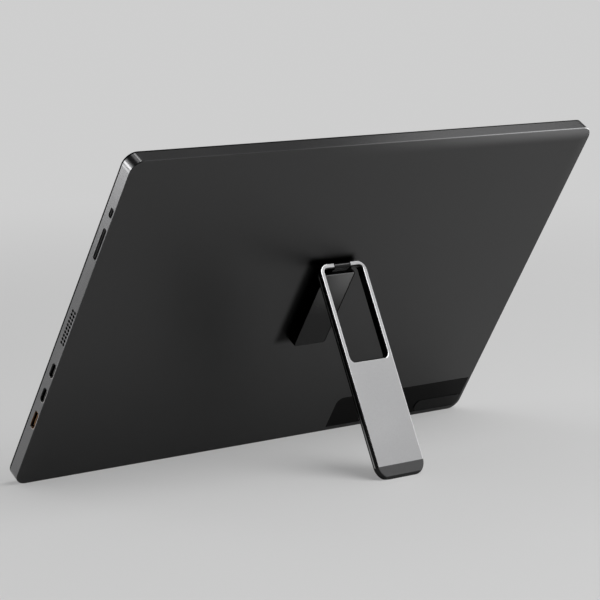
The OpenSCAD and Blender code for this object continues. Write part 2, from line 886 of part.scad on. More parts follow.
// Hinge pin, held in the leg's two stubs
module hinge_pin() {
    color(steel) on_leg() along_x(pin_r, -pin_reach, pin_reach);
}

// Thin washers between the barrel and the stubs
module hinge_washers() {
    washer_r = 1.45;
    color(steel) on_leg() for (sx = [-1, 1])
        difference() {
            middle = sx * (barrel_gap / 2 - washer_fit - washer_t / 2);
            along_x(washer_r, middle - washer_t / 2, middle + washer_t / 2);
            along_x(pin_r + pin_fit, middle - washer_t, middle + washer_t);
        }
}

// The leg's rounded bar, from its rounded top down past the sole
module leg_blank() {
    translate([0, leg_face - leg_t, -blank_len])
        bar(leg_w, blank_len + bar_up, foot_r, leg_top_r)
            rounded_edge(leg_t, back_round, face_round);
}

// Satin aluminium leg: a plate with a long window and two stubs round the hinge pin
module stand_leg() {
    stub_h = bar_up + bar_down + 2 * cut;
    color(satin_silver) on_leg() difference() {
        leg_blank();
        translate([-leg_w, -leg_t, -leg_len - leg_w])
            cube([2 * leg_w, 2 * leg_t, foot_len + leg_w]);
        translate([0, leg_face - leg_t - cut, -window_len])
            bar(window_w, window_len - bar_down, window_low_r, window_high_r)
                flared_edge(leg_t + cut, face_round);
        translate([-barrel_gap / 2, -leg_t, -bar_down - cut])
            cube([barrel_gap, 2 * leg_t, stub_h]);
        for (sx = [-1, 1])
            translate([sx * barrel_gap / 2, leg_face, -bar_down - cut]) rotate([0, 0, 45])
                translate([-stub_bevel / 2, -stub_bevel / 2, 0])
                    cube([stub_bevel, stub_bevel, stub_h]);
        along_x(pin_r + pin_fit, -pin_reach - pin_end_gap, pin_reach + pin_end_gap);
        translate([-tongue_w / 2 - tongue_fit, -tongue_t / 2 - tongue_fit, -seam_len - cut])
            cube([
                tongue_w + 2 * tongue_fit,
                tongue_t + 2 * tongue_fit,
                tongue_len + tongue_fit + cut
            ]);
    }
}

// Foot cap with a flat sole that lies on the floor, and a tongue up into the leg
module foot_cap() {
    color(foot_grey) on_leg() {
        difference() {
            leg_blank();
            translate([-leg_w, -leg_t, -seam_len]) cube([2 * leg_w, 2 * leg_t, leg_len]);
            for (face = [[0, -leg_len, -leg_tilt], [leg_face, -leg_len + foot_bevel, 45]])
                translate([0, face[0], face[1]]) rotate([face[2], 0, 0])
                    translate([-leg_w, -leg_w / 2, -leg_w]) cube([2 * leg_w, leg_w, leg_w]);
        }
        translate([-tongue_w / 2, -tongue_t / 2, -seam_len - eps])
            cube([tongue_w, tongue_t, tongue_len]);
    }
}

// Crowned cap of a button in its slot, from depth inner to the side wall's face
module button_cap(len, inner) {
    cap_w = slot_w - 2 * button_gap;
    crown_r = (cap_w * cap_w / 4 + cap_crown * cap_crown) / (2 * cap_crown);
    intersection() {
        side_plate(inner, side_x) stadium(len - 2 * button_gap, cap_w);
        translate([side_x - cap_sink - crown_r, 0, -len])
            cylinder(r = crown_r, h = 2 * len);
    }
}

// Power button: cap, retaining flange and the stem that pushes its switch
module power_button() {
    flange_out = inner_x - flange_gap;
    color(soft_black) on_panel() translate([0, -port_depth, power_v]) {
        button_cap(power_len, flange_out - flange_t / 2);
        side_plate(flange_out - flange_t, flange_out)
            stadium(power_len + 2 * flange_lap, flange_w);
        along_x(stem_r, plunger_tip + switch_gap, flange_out - flange_t / 2);
    }
}

// Volume rocker: a long cap that rocks on the ridge at its middle, over two switches
module volume_rocker() {
    flange_out = inner_x - rocker_gap;
    ridge_x = inner_x - ridge_gap - ridge_r;
    color(soft_black) on_panel() translate([0, -port_depth, rocker_v]) {
        button_cap(rocker_len, flange_out - flange_t / 2);
        side_plate(flange_out - flange_t, flange_out)
            stadium(rocker_len + 2 * flange_lap, flange_w);
        translate([ridge_x, 0, 0]) along_depth(ridge_r, -flange_w / 2, flange_w / 2);
        for (s = [-1, 1])
            translate([0, 0, s * rocker_arm])
                along_x(stem_r, plunger_tip + switch_gap, flange_out - flange_t / 2);
    }
}

rear_cover();
cover_glass();
glass_tape();
panel_frame();
lcd_cell();
optical_films();
light_guide();
reflector_sheet();
led_strip();
panel_tray();
timing_board();
display_cable();
main_board();
usb_c_upper();
usb_c_lower();
mini_hdmi();
key_board();
key_switches();
key_cable();
board_screws();
speakers();
speaker_gaskets();
rear_strip();
strip_pad();
stand_plate();
stand_screws();
stand_bracket();
friction_sleeves();
hinge_pin();
hinge_washers();
stand_leg();
foot_cap();
power_button();
volume_rocker();
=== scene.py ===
import bmesh
import bpy
from mathutils import Matrix, Vector


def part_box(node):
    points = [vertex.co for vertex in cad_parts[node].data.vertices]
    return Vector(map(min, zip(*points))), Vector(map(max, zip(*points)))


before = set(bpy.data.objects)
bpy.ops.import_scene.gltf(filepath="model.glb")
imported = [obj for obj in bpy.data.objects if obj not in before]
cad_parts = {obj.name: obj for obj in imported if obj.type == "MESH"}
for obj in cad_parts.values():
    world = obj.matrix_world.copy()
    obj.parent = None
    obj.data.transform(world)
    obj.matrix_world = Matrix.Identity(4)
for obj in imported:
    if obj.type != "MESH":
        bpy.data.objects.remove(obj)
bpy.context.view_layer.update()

# ---------------------------------------------------------------- rear cover
# The back and the four side walls of the body, machined from one piece of aluminium,
# fine-blasted and anodised dark grey. The edge round the back is cut afterwards with a
# sharp tool, so it is brighter than the back, and it carries a painted highlight that grows
# from dark to bright towards the side away from the ports. All sizes are in metres.
ACROSS = (1.0, 0.0, 0.0)
BACK_NORMAL = (0.0, 0.847266, -0.531169)
PANEL_UP = (0.0, 0.531169, 0.847266)
# A normal that reaches this far along a direction is that of a flat face square to it
FLAT = 0.96
NO_LIGHT = (0.0, 0.0, 0.0)
ANODISED = (0.0025, 0.0025, 0.0026)
ANODISED_WALL = (0.235, 0.235, 0.238)
BACK_ROUGHNESS = 0.36
WALL_ROUGHNESS = 0.20
# The cut edge: a dark tone near the ports and a painted highlight towards the far side
CUT_EDGE = (0.06, 0.06, 0.061)
CUT_EDGE_HIGHLIGHT = (0.5, 0.5, 0.505)
CUT_EDGE_TILT = 0.3
CUT_EDGE_HIGHLIGHT_FADE = (0.08, -0.19)
# Painted sheen on the back along its upper edge and its edge away from the ports
PAINTED_EDGE_SHEEN = (0.16, 0.16, 0.162)
SHEEN_DEPTH = 0.010
UPPER_SHEEN_FADE = (0.05, -0.17)
SIDE_SHEEN_REACH = 0.09
RIM_DEPTH = 0.0077
BODY_HEIGHT = 0.232
SIDE_WALL_TILT = 0.9
WALL_INSIDE_X = 0.1771
OPENING_TILT = 0.35
# Painted shade, black, round the mouths of the grille holes
GRILLE_MIDDLE = 0.1159
GRILLE_HALF_LENGTH = 0.0122
GRILLE_PITCH = 0.0025
GRILLE_ROWS = 0.0022
GRILLE_DEPTH = 0.00315
GRILLE_HOLE_RADIUS = 0.00095
SLOT_HALF_WIDTH = 0.001375
SLOT_SHADOW = 0.0004
BUTTON_SLOTS = (("power_button", 0.00305), ("volume_rocker", 0.01045))
# Painted shade round each port's mouth, and a painted highlight just beyond it
PORT_EDGE = 0.0004
PORT_HIGHLIGHT_REACH = 0.0005
PORT_HIGHLIGHT_SHIFT = 0.0002
PORT_HIGHLIGHT = (0.55, 0.53, 0.52)
HDMI_EDGE = (0.24, 0.12, 0.05)
PORTS = (("usb_c_upper", 0.00447, 0.00158), ("usb_c_lower", 0.00447, 0.00158),
         ("mini_hdmi", 0.0056, 0.0016))
# Painted shadow on the back round the bracket
SHADOW_BESIDE = 0.014
SHADOW_ABOVE = 0.006
SHADOW_SOFTNESS = 0.006
SHADOW_FAR_SIDE = (-0.001, 0.004)
SHADOW_BELOW = 0.003
NODE_STEP = 220
NODES_IN_ROW = 8


def node(tree, kind, **settings):
    """A node with its settings. Nodes are laid out in rows, in the order they are made."""
    row, column = divmod(len(tree.nodes), NODES_IN_ROW)
    made = tree.nodes.new(kind)
    made.location = (NODE_STEP * column, -NODE_STEP * row)
    for key, value in settings.items():
        setattr(made, key, value)
    return made


def calc(operation, *inputs):
    """The result of a math node. Each input is a socket or a number."""
    tree = next(i for i in inputs if isinstance(i, bpy.types.NodeSocket)).id_data
    made = node(tree, "ShaderNodeMath", operation=operation)
    for slot, value in zip(made.inputs, inputs):
        if isinstance(value, (int, float)):
            slot.default_value = value
        else:
            tree.links.new(value, slot)
    return made.outputs[0]


def minus(first, second):
    return calc("SUBTRACT", first, second)


def unsigned(value):
    return calc("ABSOLUTE", value)


def above(value, limit):
    return calc("GREATER_THAN", value, limit)


def below(value, limit):
    return calc("LESS_THAN", value, limit)


def within(value, low, high):
    """1 where the value lies between two limits."""
    return below(unsigned(minus(value, (low + high) / 2)), (high - low) / 2)


def either(first, second):
    return calc("MAXIMUM", first, second)


def all_of(first, *others):
    """The product of several masks."""
    for other in others:
        first = calc("MULTIPLY", first, other)
    return first


def along(vector, direction):
    """How far a vector reaches along a direction."""
    made = node(vector.id_data, "ShaderNodeVectorMath", operation="DOT_PRODUCT")
    made.inputs[1].default_value = direction
    vector.id_data.links.new(vector, made.inputs[0])
    return made.outputs["Value"]


def ramp(value, start, end, first=0.0, last=1.0):
    """Goes smoothly from the first number to the last as the value goes from start to end."""
    made = node(value.id_data, "ShaderNodeMapRange", interpolation_type="SMOOTHSTEP")
    if start > end:
        start, end, first, last = end, start, last, first
    made.inputs["From Min"].default_value = start
    made.inputs["From Max"].default_value = end
    made.inputs["To Min"].default_value = first
    made.inputs["To Max"].default_value = last
    value.id_data.links.new(value, made.inputs["Value"])
    return made.outputs["Result"]


def mix(amount, first, second):
    """Goes from the first colour to the second as the amount goes from 0 to 1."""
    tree = amount.id_data
    made = node(tree, "ShaderNodeMix", data_type="RGBA")
    tree.links.new(amount, made.inputs["Factor"])
    # A mix node has its colours at inputs 6 and 7 and at output 2
    for slot, value in ((made.inputs[6], first), (made.inputs[7], second)):
        if isinstance(value, tuple):
            slot.default_value = (*value, 1)
        else:
            tree.links.new(value, slot)
    return made.outputs[2]


def stadium(aside, rise, half_long, half_short):
    """1 inside a slot with round ends, drawn about the zero of its two coordinates."""
    beyond = either(minus(unsigned(rise), half_long - half_short), 0.0)
    squared = calc("ADD", calc("MULTIPLY", beyond, beyond), calc("MULTIPLY", aside, aside))
    return below(squared, half_short ** 2)


def span(name, direction):
    """Where a CAD node begins and ends along a direction."""
    reaches = [v.co.dot(Vector(direction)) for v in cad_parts[name].data.vertices]
    return min(reaches), max(reaches)


def speckle_group():
    """Slow blotches and fine grain: gives a colour, a roughness and a height."""
    group = bpy.data.node_groups.new("fine_speckle", "ShaderNodeTree")
    for title, kind in (("Vector", "Vector"), ("Colour", "Color"), ("Blotch", "Float"),
                        ("Blotch Size", "Float"), ("Grain", "Float"), ("Grain Size", "Float"),
                        ("Roughness", "Float"), ("Roughness Spread", "Float")):
        group.interface.new_socket(name=title, in_out="INPUT", socket_type="NodeSocket" + kind)
    for title, kind in (("Colour", "Color"), ("Roughness", "Float"), ("Height", "Float")):
        group.interface.new_socket(name=title, in_out="OUTPUT", socket_type="NodeSocket" + kind)
    entry = node(group, "NodeGroupInput")
    leave = node(group, "NodeGroupOutput")
    slow = node(group, "ShaderNodeTexNoise")
    slow.inputs["Detail"].default_value = 3.0
    fine = node(group, "ShaderNodeTexNoise")
    fine.inputs["Detail"].default_value = 2.0
    for noise, size in ((slow, "Blotch Size"), (fine, "Grain Size")):
        group.links.new(entry.outputs["Vector"], noise.inputs["Vector"])
        group.links.new(entry.outputs[size], noise.inputs["Scale"])

    def centred(noise, amount):
        return calc("MULTIPLY", minus(noise.outputs[0], 0.5), entry.outputs[amount])

    gain = calc("ADD", calc("ADD", centred(slow, "Blotch"), centred(fine, "Grain")), 1.0)
    tint = node(group, "ShaderNodeVectorMath", operation="SCALE")
    group.links.new(entry.outputs["Colour"], tint.inputs[0])
    group.links.new(gain, tint.inputs["Scale"])
    rough = calc("ADD", entry.outputs["Roughness"], centred(slow, "Roughness Spread"))
    group.links.new(tint.outputs[0], leave.inputs["Colour"])
    group.links.new(rough, leave.inputs["Roughness"])
    group.links.new(fine.outputs[0], leave.inputs["Height"])
    return group


speckle = speckle_group()


def finish(name, colour, roughness, metallic=0.0, blotch=0.06, blotch_size=25.0, grain=0.1,
           grain_size=2500.0, spread=0.08, bump=0.02, bump_depth=0.0001, specular=0.5,
           coat=0.0, coat_roughness=0.1):
    """A procedural material. Any of its colour, roughness and metallic can be linked later."""
    material = bpy.data.materials.new(name)
    material.use_nodes = True
    tree = material.node_tree
    shader = tree.nodes["Principled BSDF"]
    place = node(tree, "ShaderNodeTexCoord")
    marks = node(tree, "ShaderNodeGroup", node_tree=speckle)
    tree.links.new(place.outputs["Object"], marks.inputs["Vector"])
    for title, value in (("Colour", (*colour, 1)), ("Blotch", blotch),
                         ("Blotch Size", blotch_size), ("Grain", grain),
                         ("Grain Size", grain_size), ("Roughness", roughness),
                         ("Roughness Spread", spread)):
        marks.inputs[title].default_value = value
    tree.links.new(marks.outputs["Colour"], shader.inputs["Base Color"])
    tree.links.new(marks.outputs["Roughness"], shader.inputs["Roughness"])
    relief = node(tree, "ShaderNodeBump")
    relief.inputs["Strength"].default_value = bump
    relief.inputs["Distance"].default_value = bump_depth
    tree.links.new(marks.outputs["Height"], relief.inputs["Height"])
    tree.links.new(relief.outputs["Normal"], shader.inputs["Normal"])
    shader.inputs["Metallic"].default_value = metallic
    shader.inputs["Specular IOR Level"].default_value = specular
    shader.inputs["Coat Weight"].default_value = coat
    shader.inputs["Coat Roughness"].default_value = coat_roughness
    return material


def sockets_of(material):
    """Where a material is read and steered: position, normal, speckle inputs, shader inputs."""
    tree = material.node_tree
    place = next(n for n in tree.nodes if n.type == "TEX_COORD")
    marks = next(n for n in tree.nodes if n.type == "GROUP")
    return (place.outputs["Object"], place.outputs["Normal"], marks.inputs,
            tree.nodes["Principled BSDF"].inputs)


def steer(value, slot):
    """Lets a socket follow a value."""
    value.id_data.links.new(value, slot)


def dress(material, *names):
    """Gives CAD nodes their finish."""
    for name in names:
        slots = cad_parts[name].data.materials
        slots.clear()
        slots.append(material)


anodised = finish("anodised_shell", ANODISED, BACK_ROUGHNESS, blotch=0.1, grain=0.25,
                  grain_size=3000, spread=0.04, bump=0.1, specular=0.53)
# The walls, the cut edge and the insides of the openings are told from the flat back by
# where they are and the way they face
spot, normal, marks, shader = sockets_of(anodised)
back = along(normal, BACK_NORMAL)
sideways = unsigned(along(normal, ACROSS))
across = along(spot, ACROSS)
up = along(spot, PANEL_UP)
top = span("rear_cover", PANEL_UP)[1]
rear = span("rear_cover", BACK_NORMAL)[1]
depth = minus(rear, along(spot, BACK_NORMAL))
height = minus(up, top - BODY_HEIGHT)
flat_back = above(back, FLAT)
not_back = below(back, FLAT)
on_edge = all_of(above(back, CUT_EDGE_TILT), not_back)
# The walls inside the openings, which are painted black as shade below
inside = all_of(above(unsigned(across), WALL_INSIDE_X), below(sideways, OPENING_TILT), not_back)
on_side = above(sideways, SIDE_WALL_TILT)
on_port_side = all_of(above(across, 0.0), on_side)


def about(name):
    """Coordinates on the side wall about the middle of a CAD node: towards the glass, and up."""
    middle_out = sum(span(name, BACK_NORMAL)) / 2
    middle_up = sum(span(name, PANEL_UP)) / 2
    return minus(depth, rear - middle_out), minus(up, middle_up)


# Painted shade, black: at the mouths of the grille holes, beside the buttons, at the mouths of
# the ports and on the walls inside the openings. The rim that meets the glass is black as well.
from_hole = minus(calc("WRAP", minus(height, GRILLE_MIDDLE), GRILLE_PITCH, 0.0),
                  GRILLE_PITCH / 2)
from_row = minus(unsigned(minus(depth, GRILLE_DEPTH)), GRILLE_ROWS / 2)
shaded_mouths = all_of(stadium(from_row, from_hole, GRILLE_HOLE_RADIUS, GRILLE_HOLE_RADIUS),
                within(height, GRILLE_MIDDLE - GRILLE_HALF_LENGTH,
                       GRILLE_MIDDLE + GRILLE_HALF_LENGTH), on_side)
for name, half_long in BUTTON_SLOTS:
    aside, rise = about(name)
    slot = stadium(calc("ADD", aside, SLOT_SHADOW), rise, half_long, SLOT_HALF_WIDTH)
    shaded_mouths = either(shaded_mouths, all_of(slot, on_port_side))
# Painted highlight: each port has a light edge on its lower side and its side towards the back
port_highlights = 0.0
port_mouths = {}
for name, half_long, half_short in PORTS:
    aside, rise = about(name)
    port_mouths[name] = all_of(stadium(aside, rise, half_long + PORT_EDGE,
                                       half_short + PORT_EDGE), on_port_side)
    shaded_mouths = either(shaded_mouths, port_mouths[name])
    highlight_ring = stadium(calc("ADD", aside, PORT_HIGHLIGHT_SHIFT), calc("ADD", rise, PORT_HIGHLIGHT_SHIFT),
                      half_long + PORT_HIGHLIGHT_REACH, half_short + PORT_HIGHLIGHT_REACH)
    port_highlights = either(port_highlights, all_of(highlight_ring, on_port_side))
dark = either(inside, either(shaded_mouths, above(depth, RIM_DEPTH)))
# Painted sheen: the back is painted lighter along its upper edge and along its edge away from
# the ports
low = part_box("rear_cover")[0]
painted_sheen = either(all_of(ramp(across, *UPPER_SHEEN_FADE), ramp(up, top - SHEEN_DEPTH, top)),
              all_of(ramp(up, top - SIDE_SHEEN_REACH, top + SIDE_SHEEN_REACH),
                     ramp(across, low.x + SHEEN_DEPTH, low.x - SHEEN_DEPTH)))
# Painted shadow: the back is black, with no reflection, close round the bracket's block and
# barrel
low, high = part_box("stand_bracket")
block_low, block_high = span("stand_bracket", PANEL_UP)
beside, over = high.x + SHADOW_BESIDE, block_high + SHADOW_ABOVE
painted_shadow = all_of(ramp(across, beside, beside - SHADOW_SOFTNESS),
              ramp(across, low.x + SHADOW_FAR_SIDE[0], low.x + SHADOW_FAR_SIDE[1]),
              ramp(up, over, over - SHADOW_SOFTNESS),
              ramp(up, block_low - SHADOW_BELOW, block_low + SHADOW_BELOW))
# Painted highlight beside the ports
tone = mix(port_highlights, ANODISED_WALL, PORT_HIGHLIGHT)
# Painted highlight on the cut edge, growing brighter towards the side away from the ports
tone = mix(on_edge, tone, mix(ramp(across, *CUT_EDGE_HIGHLIGHT_FADE), CUT_EDGE, CUT_EDGE_HIGHLIGHT))
# Painted sheen on the flat back
tone = mix(flat_back, tone, mix(painted_sheen, ANODISED, PAINTED_EDGE_SHEEN))
# Painted shade, black, in and round the openings; the rim that meets the glass is black too
tone = mix(dark, tone, NO_LIGHT)
tone = mix(port_mouths["mini_hdmi"], tone, HDMI_EDGE)
# Painted shadow round the bracket
tone = mix(all_of(painted_shadow, flat_back), tone, NO_LIGHT)
steer(tone, marks["Colour"])
steer(either(minus(1.0, flat_back), painted_shadow), shader["Metallic"])
steer(calc("MULTIPLY_ADD", minus(1.0, either(flat_back, inside)),
           WALL_ROUGHNESS - BACK_ROUGHNESS, BACK_ROUGHNESS), marks["Roughness"])
dress(anodised, "rear_cover")

# ---------------------------------------------------------------- display
# A glass pane over the whole front, bonded with black tape to the rim, and the
# sealed display stack behind it: cell, films, light guide and steel tray.
GLASS_BORDER = (0.003, 0.003, 0.0035)
PICTURE_AREA = (0.022, 0.022, 0.024)
PICTURE_INSET = 0.001
front_glass = finish("front_glass", GLASS_BORDER, roughness=0.05, spread=0.03, grain=0.0,
                     bump=0.0, coat=1.0, coat_roughness=0.03)
# Clear over its two faces, with the picture area a little lighter, and black on its edge
spot, normal, marks, shader = sockets_of(front_glass)
flat_face = above(unsigned(along(normal, BACK_NORMAL)), FLAT)
low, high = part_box("lcd_cell")
low_up, high_up = span("lcd_cell", PANEL_UP)
picture = all_of(within(along(spot, ACROSS), low.x + PICTURE_INSET, high.x - PICTURE_INSET),
                 within(along(spot, PANEL_UP), low_up + PICTURE_INSET,
                        high_up - PICTURE_INSET))
steer(mix(flat_face, NO_LIGHT, mix(picture, GLASS_BORDER, PICTURE_AREA)), marks["Colour"])
steer(minus(1.0, flat_face), shader["Metallic"])
steer(flat_face, shader["Coat Weight"])
dress(front_glass, "cover_glass")
tape_black = finish("tape_black", (0.006, 0.006, 0.006), roughness=0.6)
dress(tape_black, "glass_tape", "panel_frame")
cell_glass = finish("cell_glass", (0.01, 0.01, 0.012), roughness=0.15)
dress(cell_glass, "lcd_cell")
white_sheet = finish("white_sheet", (0.83, 0.83, 0.80), roughness=0.5)
dress(white_sheet, "optical_films", "reflector_sheet", "led_strip")
clear_acrylic = finish("clear_acrylic", (0.8, 0.83, 0.85), roughness=0.15)
dress(clear_acrylic, "light_guide")
plain_steel = finish("plain_steel", (0.36, 0.36, 0.37), roughness=0.35, metallic=1.0, grain=0.15)
dress(plain_steel, "panel_tray")

# ---------------------------------------------------------------- boards
# Small circuit boards on bosses inside the cover, with their screws, switches and
# amber flat cables. None of them shows from outside.
solder_mask = finish("solder_mask", (0.01, 0.06, 0.03), roughness=0.35)
dress(solder_mask, "timing_board", "main_board", "key_board")
amber_film = finish("amber_film", (0.45, 0.17, 0.02), roughness=0.3)
dress(amber_film, "display_cable", "key_cable")
dress(plain_steel, "key_switches", "board_screws", "stand_plate", "stand_screws")

# ---------------------------------------------------------------- sockets
# Two USB-C sockets and a mini HDMI socket: drawn shells, the last one gold-plated.
# The rim and the tongue of each show in the ports; the rest of the shell is dark as painted
# shade.
SOCKET_STEEL = (0.04, 0.04, 0.04)
TONGUE_GREY = (0.08, 0.078, 0.075)
PLATED_RIM = (0.10, 0.045, 0.018)
PLATED_SHADE = (0.010, 0.003, 0.001)
TONGUE_TAN = (0.5, 0.28, 0.12)
TONGUE_HALF = 0.0003
SOCKET_FRONT_TILT = 0.8


def socket_finish(name, node_name, rim, dark, tongue):
    """The rim's colour on the front faces, the tongue's at mid height, and dark painted shade
    behind.
    """
    material = finish(name, rim, roughness=0.3)
    spot, normal, marks, shader = sockets_of(material)
    low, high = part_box(node_name)
    middle = ((low + high) / 2).dot(Vector(BACK_NORMAL))
    front = above(along(normal, ACROSS), SOCKET_FRONT_TILT)
    in_tongue = all_of(within(along(spot, BACK_NORMAL), middle - TONGUE_HALF,
                              middle + TONGUE_HALF), front)
    steer(mix(in_tongue, mix(front, dark, rim), tongue), marks["Colour"])
    steer(minus(1.0, in_tongue), shader["Metallic"])
    dress(material, node_name)


socket_finish("usb_shell_upper", "usb_c_upper", SOCKET_STEEL, NO_LIGHT, TONGUE_GREY)
socket_finish("usb_shell_lower", "usb_c_lower", SOCKET_STEEL, NO_LIGHT, TONGUE_GREY)
socket_finish("gold_plate", "mini_hdmi", PLATED_RIM, PLATED_SHADE, TONGUE_TAN)

# ---------------------------------------------------------------- speakers
# Two flat speaker boxes behind the grilles, sealed to the walls with foam. They
# are matt black, so that nothing shines through the holes.
speaker_black = finish("speaker_black", (0.012, 0.012, 0.012), roughness=0.6)
dress(speaker_black, "speakers")
foam_black = finish("foam_black", (0.008, 0.008, 0.008), roughness=0.9)
dress(foam_black, "speaker_gaskets")

# ---------------------------------------------------------------- rear strip
# A glossy black plastic strip set flush in the back's lower corner, with a low
# rubber pad on it.
strip_gloss = finish("strip_gloss", (0.002, 0.002, 0.002), roughness=0.1, spread=0.02, bump=0.0,
                     specular=0.05)
dress(strip_gloss, "rear_strip")
pad_rubber = finish("pad_rubber", (0.005, 0.005, 0.005), roughness=0.35, specular=0.1)
dress(pad_rubber, "strip_pad")

# ---------------------------------------------------------------- buttons
# Dark grey moulded caps, sunk a little in their slots: a power button and a
# volume rocker.
CAP_DARK = (0.002, 0.002, 0.002)
CAP_HIGHLIGHT = (0.075, 0.075, 0.075)
CAP_HIGHLIGHT_FADE = 0.0006


def cap_finish(name, node_name):
    """Black towards the back of the body and, as a painted highlight, a little lighter towards
    the glass.
    """
    material = finish(name, CAP_DARK, roughness=0.35, metallic=1.0)
    spot, _, marks, _ = sockets_of(material)
    middle = sum(span(node_name, BACK_NORMAL)) / 2
    cap_highlight = ramp(along(spot, BACK_NORMAL), middle, middle - CAP_HIGHLIGHT_FADE)
    steer(mix(cap_highlight, CAP_DARK, CAP_HIGHLIGHT), marks["Colour"])
    dress(material, node_name)


cap_finish("power_cap", "power_button")
cap_finish("volume_cap", "volume_rocker")

# ---------------------------------------------------------------- hinge bracket
# A dark anodised block on the back with the barrel of the friction hinge, the
# split steel sleeves in it, the pin and two washers.
BRACKET = (0.001, 0.001, 0.001)
BRACKET_HIGHLIGHT = (0.23, 0.23, 0.23)
BEVEL_HIGHLIGHT = (0.12, 0.12, 0.12)
BEVEL_TILT = 0.3
BARREL = (0.02, 0.02, 0.02)
BARREL_HIGHLIGHT = (0.13, 0.13, 0.13)
BARREL_HIGHLIGHT_FACING = (0.1, 0.5, 0.7)
BLOCK_TOP_BELOW_BARREL_TOP = 0.00645
BRACKET_EDGE = 0.0013
HIGHLIGHT_FROM_BELOW_TOP = 0.034
HIGHLIGHT_TO_ABOVE_TOP = 0.008
HIGHLIGHT_FROM_BESIDE = 0.012
HIGHLIGHT_TO_BESIDE = 0.006
bracket_dark = finish("bracket_dark", BRACKET, roughness=0.16, spread=0.03, grain=0.2, bump=0.05,
                      specular=0.17)
# The block's face carries a painted highlight that grows upwards and towards the side away from
# the ports, its upper bevel is a painted highlight, its other sides, the step under the barrel
# and a strip along the face's edge away from the ports are black as painted shade, and the
# barrel has one painted highlight along it
spot, normal, marks, shader = sockets_of(bracket_dark)
out = along(normal, BACK_NORMAL)
rising = along(normal, PANEL_UP)
up = along(spot, PANEL_UP)
across = along(spot, ACROSS)
low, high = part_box("stand_bracket")
block_top = span("stand_bracket", PANEL_UP)[1] - BLOCK_TOP_BELOW_BARREL_TOP
on_barrel = above(up, block_top)
on_block = minus(1.0, on_barrel)
face = all_of(above(out, FLAT), on_block, above(across, low.x + BRACKET_EDGE))
bevel = all_of(above(out, BEVEL_TILT), above(rising, BEVEL_TILT), on_block)
# Painted highlight on the block's face
face_highlight = all_of(ramp(up, block_top - HIGHLIGHT_FROM_BELOW_TOP, block_top + HIGHLIGHT_TO_ABOVE_TOP),
              ramp(across, high.x + HIGHLIGHT_FROM_BESIDE, low.x - HIGHLIGHT_TO_BESIDE))
# Painted highlight: one light line along the upper side of the barrel
highlight_start, highlight_middle, highlight_end = BARREL_HIGHLIGHT_FACING
barrel_highlight = all_of(ramp(out, highlight_start, highlight_middle), ramp(out, highlight_end, highlight_middle),
              above(rising, 0.0))
# Painted highlight on the upper bevel; the other sides are black as painted shade
tone = mix(bevel, NO_LIGHT, BEVEL_HIGHLIGHT)
tone = mix(face, tone, mix(face_highlight, BRACKET, BRACKET_HIGHLIGHT))
tone = mix(on_barrel, tone, mix(barrel_highlight, BARREL, BARREL_HIGHLIGHT))
steer(tone, marks["Colour"])
steer(minus(1.0, face), shader["Metallic"])
dress(bracket_dark, "stand_bracket")
hinge_steel = finish("hinge_steel", (0.3, 0.3, 0.31), roughness=0.3, metallic=1.0)
dress(hinge_steel, "friction_sleeves", "hinge_pin", "hinge_washers")

# ---------------------------------------------------------------- leg
# A satin aluminium plate with rounded edges and a window, and a dark grey rubber
# foot on its end.
LEG_NORMAL = (0.0, 0.909128, 0.416517)
SATIN = (0.355, 0.355, 0.36)
SATIN_ROUGHNESS = 0.3
LEG_FLAT = 0.985
POLISHED = (0.45, 0.45, 0.455)
POLISHED_SHADE = (0.02, 0.02, 0.02)
POLISHED_ROUGHNESS = 0.13
POLISHED_SHADE_FADE = (0.92, 0.83)
LEG_SIDE_SHADE = (0.01, 0.01, 0.01)
LEG_SIDE_SHADE_FADE = (0.3, 0.17)
SIDE_HIGHLIGHT = (0.4, 0.4, 0.4)
SIDE_HIGHLIGHT_DEPTH = 0.0027
SIDE_HIGHLIGHT_FADE = (0.0006, 0.0003)
SIDE_INSET = 0.001
FOOT_FACE = (0.05, 0.05, 0.051)
FOOT_EDGE_SHADE = (0.006, 0.006, 0.006)
FOOT_SHADE_FADE = (0.7, 0.93)
satin = finish("satin_leg", SATIN, SATIN_ROUGHNESS, metallic=1.0, blotch=0.04,
               grain_size=900, bump=0.0)
# Blasted on its two flat faces and polished on the rounded edges. Painted shade darkens the
# rounded edges as they turn sideways and makes the sides and the inside of the window dark,
# and a painted highlight draws one light line along each outer side
spot, normal, marks, _ = sockets_of(satin)
facing = unsigned(along(normal, LEG_NORMAL))
blasted = above(facing, LEG_FLAT)
leg_front = span("stand_leg", LEG_NORMAL)[1]
from_highlight = unsigned(minus(along(spot, LEG_NORMAL), leg_front - SIDE_HIGHLIGHT_DEPTH))
low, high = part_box("stand_leg")
outer = above(unsigned(minus(along(spot, ACROSS), (low.x + high.x) / 2)),
              (high.x - low.x) / 2 - SIDE_INSET)
side_shade_and_highlight = mix(all_of(ramp(from_highlight, *SIDE_HIGHLIGHT_FADE), outer), LEG_SIDE_SHADE, SIDE_HIGHLIGHT)
tone = mix(ramp(facing, *POLISHED_SHADE_FADE), POLISHED, POLISHED_SHADE)
tone = mix(ramp(facing, *LEG_SIDE_SHADE_FADE), tone, side_shade_and_highlight)
steer(mix(blasted, tone, SATIN), marks["Colour"])
steer(calc("MULTIPLY_ADD", blasted, SATIN_ROUGHNESS - POLISHED_ROUGHNESS,
           POLISHED_ROUGHNESS), marks["Roughness"])
dress(satin, "stand_leg")
foot_rubber = finish("foot_rubber", FOOT_FACE, roughness=0.55, grain=0.3, specular=0.3)
# Painted shade: the foot is darker on its sides and rounded edges than on its face
_, normal, marks, _ = sockets_of(foot_rubber)
facing = unsigned(along(normal, LEG_NORMAL))
steer(mix(ramp(facing, *FOOT_SHADE_FADE), FOOT_EDGE_SHADE, FOOT_FACE), marks["Colour"])
dress(foot_rubber, "foot_cap")

